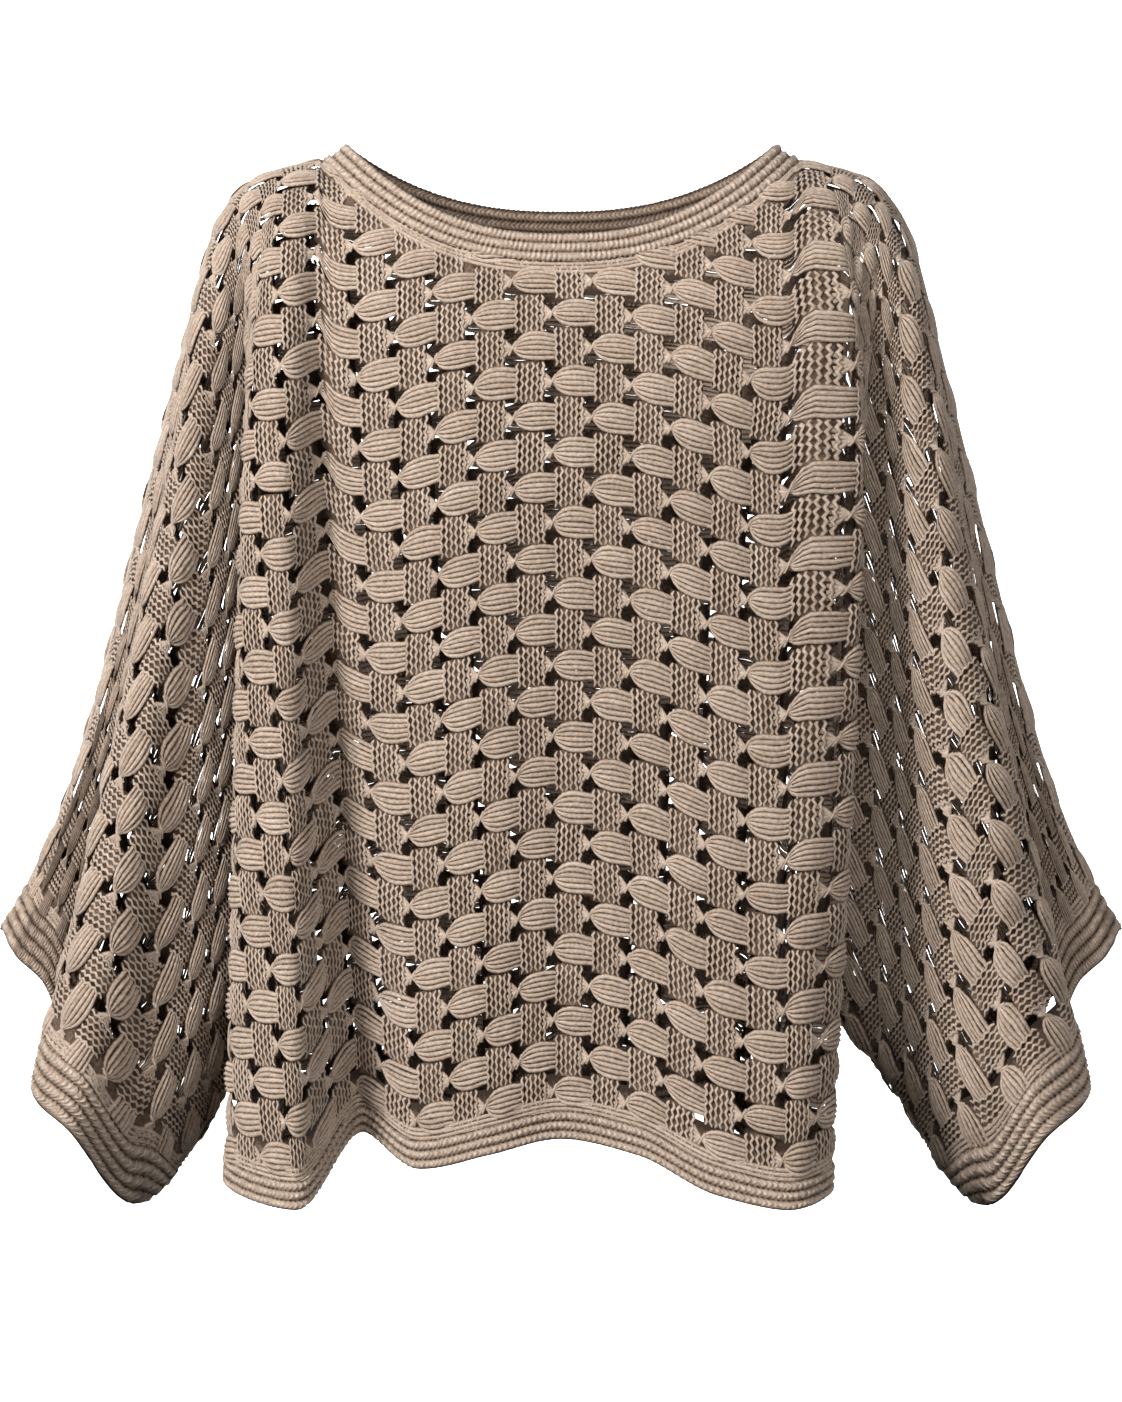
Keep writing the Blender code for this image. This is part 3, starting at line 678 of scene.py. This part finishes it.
def add_strips(yarns, u, v):
    """Strips: strands that sway together and apart, with small openings between them."""
    strand = np.arange(STRANDS)[:, None]
    node = np.arange(STRAND_NODES)
    share = np.linspace(-1, 1, STRAND_NODES)
    width = (STRIP_STOP - STRIP_START) * CELL / STRANDS
    sway = STRAND_SWAY * (-1.0) ** (strand + node)
    stray = yarns.rng.normal(0, UNEVEN / 3, (len(u), STRANDS, STRAND_NODES))
    lean = yarns.rng.normal(0, UNEVEN, (len(u), 1, 1)) * share
    cord_u = u[:, None, None] + STRIP_START * CELL + (strand + 0.5) * width + sway + stray + lean
    cord_v = v[:, None, None] + share * STRIP_REACH * COURSE
    top = STRIP_TOP + (STRIP_END_TOP - STRIP_TOP) * share**4 + stray
    half = width / 2 - STRAND_SWAY + STRAND_OVERLAP
    yarns.lay_bundles(cord_u, cord_v, top, half, STRAND_DROP)


def add_shade_ground(yarns, u, v, start, stop):
    """Painted shade: a flat dark sheet behind each strip's strands, and behind the knot on the back, so
    the openings show the dark of the shaded inside.
    """
    share = np.linspace(-1, 1, SHADE_GROUND_POINTS)
    cord_u = u[:, None] + (start + stop) / 2 * CELL
    cord_v = v[:, None] + share * SHADE_GROUND_REACH * COURSE
    half = (stop - start) / 2 * CELL
    yarns.lay(cord_u, cord_v, SHADE_GROUND_TOP, half, 0.0, GROUND_PAINTED_SHADE)


def add_knots(yarns, u, v):
    """Knots: the gathered cords that tie each shell's pinch to the strip on its left."""
    spread = np.linspace(-1, 1, KNOT_CORDS)[:, None]
    share = np.linspace(0, 1, KNOT_POINTS)
    ease = share * share * (3 - 2 * share)
    cord_u = u[:, None, None] + (KNOT_START * (1 - share) + KNOT_STOP * share) * CELL
    gather = spread * (KNOT_SPREAD * (1 - ease) - KNOT_TWIST * ease) * COURSE
    cord_v = v[:, None, None] + gather + yarns.rng.normal(0, UNEVEN, (len(u), 1, 1)) * (1 - share)
    top = KNOT_TOP * (KNOT_RISE[0] + KNOT_RISE[1] * ease)
    half = KNOT_HALF - KNOT_THINNING * ease
    yarns.lay_bundles(cord_u, cord_v, top, half, KNOT_DROP)
    wrap = np.linspace(-1, 1, WRAP_POINTS)
    wrap_u = u[:, None] + (WRAP_LEAN * wrap + WRAP_SHIFT) * CELL
    wrap_v = v[:, None] - WRAP_REACH * wrap * COURSE
    wrap_top = WRAP_TOP - WRAP_FALL * wrap**2
    yarns.lay(wrap_u, wrap_v, wrap_top, WRAP_HALF, KNOT_DROP)


def add_edges(yarns, start, stop):
    """Plain ribs along the panel's own edges and seams, between two flat distances."""
    drape = yarns.cloth.drape
    u = np.arange(max(start, -CUFF_START), min(stop, CUFF_START) + EDGE_STEP, EDGE_STEP)
    neck = u[np.abs(u) < NECK_HALF]
    hem = u[np.abs(u) < HEM_CORNER]
    for inset in EDGE_INSETS:
        add_edge(yarns, neck, drape.neck_cut(neck) + inset, EDGE_TOP)
        add_edge(yarns, hem, drape.bottom(hem) - inset, EDGE_TOP)
    for side in (-1, 1):
        arm = u[u * side > NECK_HALF]
        for inset, top in ARM_RIDGES:
            add_edge(yarns, arm, 0 * arm + inset, top)
        seam = (drape.edge_u * side > HEM_CORNER - TINY) & (drape.edge_u * side < CUFF_START)
        seam &= (drape.edge_u > start) & (drape.edge_u <= stop)
        seam_u, seam_v = drape.edge_u[seam][::SEAM_RIB_SKIP], drape.edge_v[seam][::SEAM_RIB_SKIP]
        add_edge(yarns, seam_u, seam_v - SEAM_RIB_INSET, SEAM_RIB_TOP)
        cuff_u = side * CUFF_START
        if start < cuff_u - side * CELL / 2 < stop:
            v = np.arange(0, drape.bottom(cuff_u), EDGE_STEP)
            for inset in EDGE_INSETS:
                add_edge(yarns, 0 * v + cuff_u - side * inset, v, EDGE_TOP)


def add_edge(yarns, u, v, top):
    """One rib through flat points, if there are any."""
    if len(u) > 1:
        yarns.lay(u[None], v[None], top, EDGE_HALF, EDGE_DROP)


def add_edge_shade_ground(yarns, start, stop):
    """Painted shade: the flat dark sheet along the panel's edges, behind the cells that they cut."""
    drape = yarns.cloth.drape
    u = np.arange(max(start, -CUFF_START), min(stop, CUFF_START) + EDGE_STEP, EDGE_STEP)
    neck = u[np.abs(u) < NECK_HALF]
    lines = [(neck, drape.neck_cut(neck) + EDGE_SHADE_GROUND), (u, drape.bottom(u) - EDGE_SHADE_GROUND)]
    for side in (-1, 1):
        cuff_u = side * CUFF_START
        if start < cuff_u - side * CELL / 2 < stop:
            v = np.arange(0, drape.bottom(cuff_u), EDGE_STEP)
            lines.append((0 * v + cuff_u - side * EDGE_SHADE_GROUND, v))
    for line_u, line_v in lines:
        if len(line_u) > 1:
            yarns.lay(line_u[None], line_v[None], SHADE_GROUND_TOP, EDGE_SHADE_GROUND, 0.0, GROUND_PAINTED_SHADE)


def rib_profile(width, ribs, height):
    """Across a band: distances from its first edge and heights, outside first and then inside."""
    across = np.linspace(0, width, ribs * RIB_STEPS + 1)
    rise = np.abs(np.sin(math.pi * across * ribs / width)) ** BAND_CROWN
    back = np.linspace(width, 0, ribs + 1)
    heights = np.concatenate([WALL / 2 + height * rise - BAND_SINK, np.full(len(back), -WALL / 2)])
    return np.concatenate([across, back]), heights


def joined_ring(name, halves, across, ribs, width, material):
    """A closed ring from the sections of its front and back halves, which share their ends."""
    front, back = halves
    start = (front[:1] + back[:1]) / 2
    end = (front[-1:] + back[-1:]) / 2
    sections = np.concatenate([start, front[1:-1], end, back[1:-1][::-1]])
    count, size = sections.shape[:2]
    index = np.arange(count * size).reshape(count, size)
    ahead, beside = np.roll(index, -1, 0), np.roll(index, -1, 1)
    corner = np.roll(ahead, -1, 1)
    faces = np.stack([index, beside, corner, ahead], -1).reshape(-1, 4)
    step = np.linalg.norm(np.roll(sections, -1, 0) - sections, axis=2).mean(1)
    along = np.concatenate([[0], np.cumsum(step)[:-1]])
    rib_share = across * ribs / width
    maps = np.stack(np.broadcast_arrays(along[:, None], rib_share), -1).reshape(-1, 2)
    tone = np.where(np.arange(size) <= np.argmax(across), 0.0, INSIDE_TONE)
    return new_piece(name, sections.reshape(-1, 3), faces, maps, np.tile(tone, count), material)


def hem_flat(drape, q, across):
    """Flat points below the hem edge on the strands q."""
    top_u, _, flat_u, flat_v = drape.fold(q)[:4]
    top_v = drape.neck_cut(top_u)
    length = np.hypot(flat_u - top_u, flat_v - top_v)
    past = 1 + across / length[:, None]
    u = top_u[:, None] + (flat_u - top_u)[:, None] * past
    v = top_v[:, None] + (flat_v - top_v)[:, None] * past
    return u, v


def cuff_flat(side, drape, share, across):
    """Flat points outside the panel's cuff edge, at shares from the over-arm seam down."""
    u = side * (CUFF_START + across) + 0 * share[:, None]
    return u, share[:, None] * drape.bottom(u)


def stitched(count, share, height):
    """Heights of a band's sections with its stitches raised, each rib's set over from the next."""
    along = np.arange(count)[:, None] * BAND_STEP
    slant = np.abs(2 * (share % 1) - 1)
    turns = along / BAND_STITCH + np.floor(share) / 2 + BAND_STITCH_SLANT * slant
    wave = np.sin(2 * math.pi * turns)
    return height + BAND_STITCH_RELIEF * wave * (height > 0)


def band_half(cloth, flat_of, stations, across, height):
    """Sections of half a band on one cloth, turned as the panel's edge is."""
    flat = flat_of(cloth.drape, stations, across)
    edge = flat_of(cloth.drape, stations, np.zeros(len(across)))
    return cloth.lay(*flat, height, edge)


def neck_half(cloth, shares, across, height):
    """Sections of the neckband on one cloth, from the panel's edge to the free edge."""
    drape = cloth.drape
    u = shares * NECK_HALF
    low = drape.point(u, drape.neck_cut(u))
    curve = np.abs(shares) ** NECK_CURVE
    high_z = drape.neck.free_z + (NECK_FREE_Z - drape.neck.free_z) * curve
    high = np.stack([low[:, 0] * NECK_FREE_HALF / NECK_HALF, low[:, 1] * NECK_LEAN, high_z], 1)
    rise = high - low
    last_out = np.cross(np.gradient(low, axis=0), rise) * -drape.facing
    last_out /= np.linalg.norm(last_out, axis=1, keepdims=True)
    first_out = drape.normal(u, drape.neck_cut(u))
    turned = first_out[:, None] + (last_out - first_out)[:, None] * across[:, None]
    middle = low[:, None] + rise[:, None] * across[:, None]
    return middle + turned * height[..., None]


class Nodes:
    """Short names for building a material's nodes."""

    def __init__(self, name):
        self.material = bpy.data.materials.new(name)
        self.material.use_nodes = True
        self.tree = self.material.node_tree
        self.shader = self.tree.nodes["Principled BSDF"]

    def add(self, kind, **inputs):
        node = self.tree.nodes.new(kind)
        for key, value in inputs.items():
            self.feed(node.inputs[key.replace("_", " ")], value)
        return node

    def feed(self, socket, value):
        if isinstance(value, bpy.types.NodeSocket):
            self.tree.links.new(value, socket)
        else:
            socket.default_value = value

    def maths(self, operation, *values):
        node = self.tree.nodes.new("ShaderNodeMath")
        node.operation = operation
        for socket, value in zip(node.inputs, values):
            self.feed(socket, value)
        return node.outputs[0]

    def noise(self, grain, vector):
        node = self.add("ShaderNodeTexNoise", Scale=grain.scale, Detail=grain.detail, Vector=vector)
        return node.outputs["Fac"]

    def ramp(self, value, stops):
        node = self.tree.nodes.new("ShaderNodeValToRGB")
        self.feed(node.inputs["Fac"], value)
        ends = node.color_ramp.elements
        while len(ends) < len(stops):
            ends.new(1.0)
        for end, (place, colour) in zip(ends, stops):
            end.position = place
            end.color = (*colour, 1.0)
        return node.outputs["Color"]


def yarn_material(name, look):
    """Heathered wool. Along and across the yarn come from the piece's own map, in mm and in shares."""
    n = Nodes(name)
    place = n.add("ShaderNodeUVMap").outputs["UV"]
    n.tree.nodes[-1].uv_map = "yarn"
    split = n.add("ShaderNodeSeparateXYZ", Vector=place)
    along, across = split.outputs["X"], split.outputs["Y"]
    here = n.add("ShaderNodeTexCoord").outputs["Object"]
    tone = n.tree.nodes.new("ShaderNodeAttribute")
    tone.attribute_name = "tone"
    middle = n.maths("MULTIPLY_ADD", n.maths("FRACT", across), 2.0, -1.0)
    edge = n.maths("ABSOLUTE", middle)
    fibre = n.noise(FIBRE, here)
    heather = n.noise(HEATHER, here)
    patch = n.noise(PATCH, here)
    turn = n.maths("MULTIPLY_ADD", edge, look.slant, along)
    turn = n.maths("MULTIPLY_ADD", heather, STITCH_STRAY, turn)
    ply = n.maths("SINE", n.maths("MULTIPLY", turn, 2 * math.pi / look.stitch))
    # Painted shade: the yarn darkens towards each cord's edges, where the grooves lie, and that edge waves
    # with the stitches.
    scallop = n.maths("MULTIPLY_ADD", ply, look.scallop, edge)
    painted_groove_shade = n.maths("POWER", n.maths("MAXIMUM", scallop, 0.0), GROOVE_WIDTH)
    # Painted light and shade: the stitch stripes lighten and darken the yarn along its stitches, as their
    # relief would be lit.
    shade = n.maths("MULTIPLY_ADD", ply, look.shade, MIDDLE_SHADE)
    for noise, grain in ((heather, HEATHER), (fibre, FIBRE), (patch, PATCH)):
        shade = n.maths("MULTIPLY_ADD", n.maths("SUBTRACT", noise, 0.5), grain.shade, shade)
    shade = n.maths("MULTIPLY_ADD", painted_groove_shade, -GROOVE_PAINTED_SHADE, shade)
    shade = n.maths("MULTIPLY_ADD", tone.outputs["Fac"], TONE_SHADE, shade)
    n.feed(n.shader.inputs["Base Color"], n.ramp(shade, YARN_SHADES))
    for key, value in WOOL.items():
        n.shader.inputs[key].default_value = value
    relief = n.maths("MULTIPLY_ADD", ply, look.relief, n.maths("MULTIPLY", fibre, FIBRE_RELIEF))
    bump = n.add("ShaderNodeBump", Height=relief, Distance=RELIEF_DEPTH, Strength=RELIEF_STRENGTH)
    n.feed(n.shader.inputs["Normal"], bump.outputs["Normal"])
    return n.material


def finish_piece(piece, nodes):
    """Hangs a piece from the root body and hides the parts of the model that it stands for."""
    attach(piece, "root")
    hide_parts(*nodes)


def part_flat(drape, first, last):
    """Width and length, and the area, of the flat cloth in lattice columns first to last."""
    start = max(PINCH_U + (first + KNOT_START) * CELL, -CUFF_START)
    stop = min(PINCH_U + (last + 1) * CELL, CUFF_START)
    u = np.linspace(start, stop, PART_POINTS)
    tall = drape.bottom(u) - drape.neck_cut(u)
    top = drape.neck_cut(u).min()
    return (stop - start, drape.bottom(u).max() - top), tall.mean() * (stop - start)


def add_bands(cloths, material):
    """Ribbed rings round the neck, the hem and both cuffs."""
    across, height = rib_profile(1.0, NECK_BAND_RIBS, BAND_RELIEF)
    shares = np.linspace(-1, 1, NECK_BAND_STATIONS)
    height = stitched(len(shares), across * NECK_BAND_RIBS, height)
    halves = [neck_half(cloth, shares, across, height) for cloth in cloths]
    neck = joined_ring("neckband_knit", halves, across, NECK_BAND_RIBS, 1.0, material)
    finish_piece(neck, ["neckband"])

    across, height = rib_profile(HEM_BAND, HEM_BAND_RIBS, BAND_RELIEF)
    u = np.linspace(-HEM_CORNER, HEM_CORNER, HEM_BAND_STATIONS)
    height = stitched(len(u), across * HEM_BAND_RIBS / HEM_BAND, height)
    halves = []
    for cloth in cloths:
        q = np.interp(u, cloth.drape.edge_u, cloth.drape.edge_q)
        halves.append(band_half(cloth, hem_flat, q, across, height))
    hem = joined_ring("hem_knit", halves, across, HEM_BAND_RIBS, HEM_BAND, material)
    finish_piece(hem, ["hem_band"])

    across, height = rib_profile(CUFF_BAND, CUFF_BAND_RIBS, BAND_RELIEF)
    shares = np.linspace(0, 1, CUFF_BAND_STATIONS)
    height = stitched(len(shares), across * CUFF_BAND_RIBS / CUFF_BAND, height)
    for side, name in ((-1, "left"), (1, "right")):
        halves = [band_half(cloth, partial(cuff_flat, side), shares, across, height) for cloth in cloths]
        cuff = joined_ring(f"cuff_{name}_knit", halves, across, CUFF_BAND_RIBS, CUFF_BAND, material)
        finish_piece(cuff, [f"cuff_{name}"])


def plain_material(name, colour):
    """A matt studio surface."""
    n = Nodes(name)
    n.shader.inputs["Base Color"].default_value = (*colour, 1.0)
    n.shader.inputs["Roughness"].default_value = STUDIO_ROUGHNESS
    return n.material


def add_light(box, target):
    """A square softbox turned to its target."""
    data = bpy.data.lights.new(box.name, "AREA")
    data.size = box.size
    data.energy = box.power
    light = bpy.data.objects.new(box.name, data)
    light.location = box.place
    light.rotation_euler = (Vector(target) - Vector(box.place)).to_track_quat("-Z", "Y").to_euler()
    bpy.context.scene.collection.objects.link(light)


def add_studio():
    """Pale floor that sweeps up into a round wall, and soft lights."""
    profile = []
    for k in range(SWEEP_STEPS + 1):
        turn = math.pi / 2 * k / SWEEP_STEPS
        reach = WALL_RADIUS - SWEEP_ROUND + SWEEP_ROUND * math.sin(turn)
        profile.append((reach, FLOOR_Z + SWEEP_ROUND - SWEEP_ROUND * math.cos(turn)))
    profile.append((WALL_RADIUS, FLOOR_Z + WALL_HIGH))
    around = [2 * math.pi * k / WALL_SIDES for k in range(WALL_SIDES)]
    points = [(reach * math.cos(a), reach * math.sin(a), z) for reach, z in profile for a in around]
    faces = [list(range(WALL_SIDES))]
    for ring in range(len(profile) - 1):
        for k in range(WALL_SIDES):
            near, far = ring * WALL_SIDES, (ring + 1) * WALL_SIDES
            ahead = (k + 1) % WALL_SIDES
            faces.append((near + k, near + ahead, far + ahead, far + k))
    data = bpy.data.meshes.new("floor")
    data.from_pydata(points, [], faces)
    data.materials.append(plain_material("floor", STUDIO_COLOUR))
    data.shade_smooth()
    floor = bpy.data.objects.new("floor", data)
    bpy.context.scene.collection.objects.link(floor)

    world = bpy.data.worlds.new("studio")
    world.use_nodes = True
    sky = world.node_tree.nodes["Background"]
    sky.inputs["Color"].default_value = (1.0, 1.0, 1.0, 1.0)
    sky.inputs["Strength"].default_value = WORLD_LIGHT
    bpy.context.scene.world = world
    for box in SOFTBOXES:
        add_light(box, (0, 0, VIEW_Z))
    right, back, up = WALL_SOFTBOX.place
    for side in (-1, 1):
        box = WALL_SOFTBOX._replace(place=(side * right, back, up))
        add_light(box, (side * WALL_AIM, WALL_RADIUS, VIEW_Z))
    bpy.context.scene.view_settings.view_transform = "Standard"


def add_camera():
    """A long lens square to the front, level with the middle of the view."""
    data = bpy.data.cameras.new("camera")
    data.sensor_fit = "VERTICAL"
    data.sensor_height = SENSOR
    data.lens = SENSOR * VIEW_DISTANCE / (VIEW_HEIGHT * MM)
    data.clip_end = CLIP_END
    camera = bpy.data.objects.new("camera", data)
    camera.location = (VIEW_X, -VIEW_DISTANCE, VIEW_Z)
    camera.rotation_euler = (math.pi / 2, 0, 0)
    bpy.context.scene.collection.objects.link(camera)
    bpy.context.scene.camera = camera


def add_panel_part(cloth, panel, part, columns, rng, material):
    """The knit in some lattice columns of a panel. The middle part's dark sheet of painted shade is a
    piece of its own.
    """
    yarns = Yarns(cloth, rng)
    shells = lattice(*columns, panel.shift, True)
    strips = lattice(*columns, panel.shift, False)
    add_shells(yarns, *shells)
    add_strips(yarns, *strips)
    add_knots(yarns, *shells)
    edges = PINCH_U + columns[0] * CELL, PINCH_U + (columns[1] + 1) * CELL
    add_edges(yarns, *edges)
    ground = Yarns(cloth, rng) if part == "middle" else yarns
    add_shade_ground(ground, *strips, *panel.ground)
    add_edge_shade_ground(ground, *edges)
    flat, area = part_flat(cloth.drape, *columns)
    piece = yarns.piece(f"{panel.name}_{part}", material)
    finish_piece(piece, [f"{panel.name}_panel"])
    if part == "middle":
        piece = ground.piece(f"{panel.name}_ground", material)
        finish_piece(piece, [f"{panel.name}_panel"])


def main():
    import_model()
    add_studio()
    add_camera()
    basket = yarn_material("basket_yarn", BASKET_PLY)
    band = yarn_material("band_yarn", BAND_PLY)
    rng = np.random.default_rng(SEED)
    cloths = []
    for panel in PANELS:
        cloth = Cloth(Drape(panel.folds, panel.neck, panel.facing))
        cloths.append(cloth)
        for part, first, last in PANEL_PARTS:
            add_panel_part(cloth, panel, part, (first, last), rng, basket)
    add_bands(cloths, band)


main()
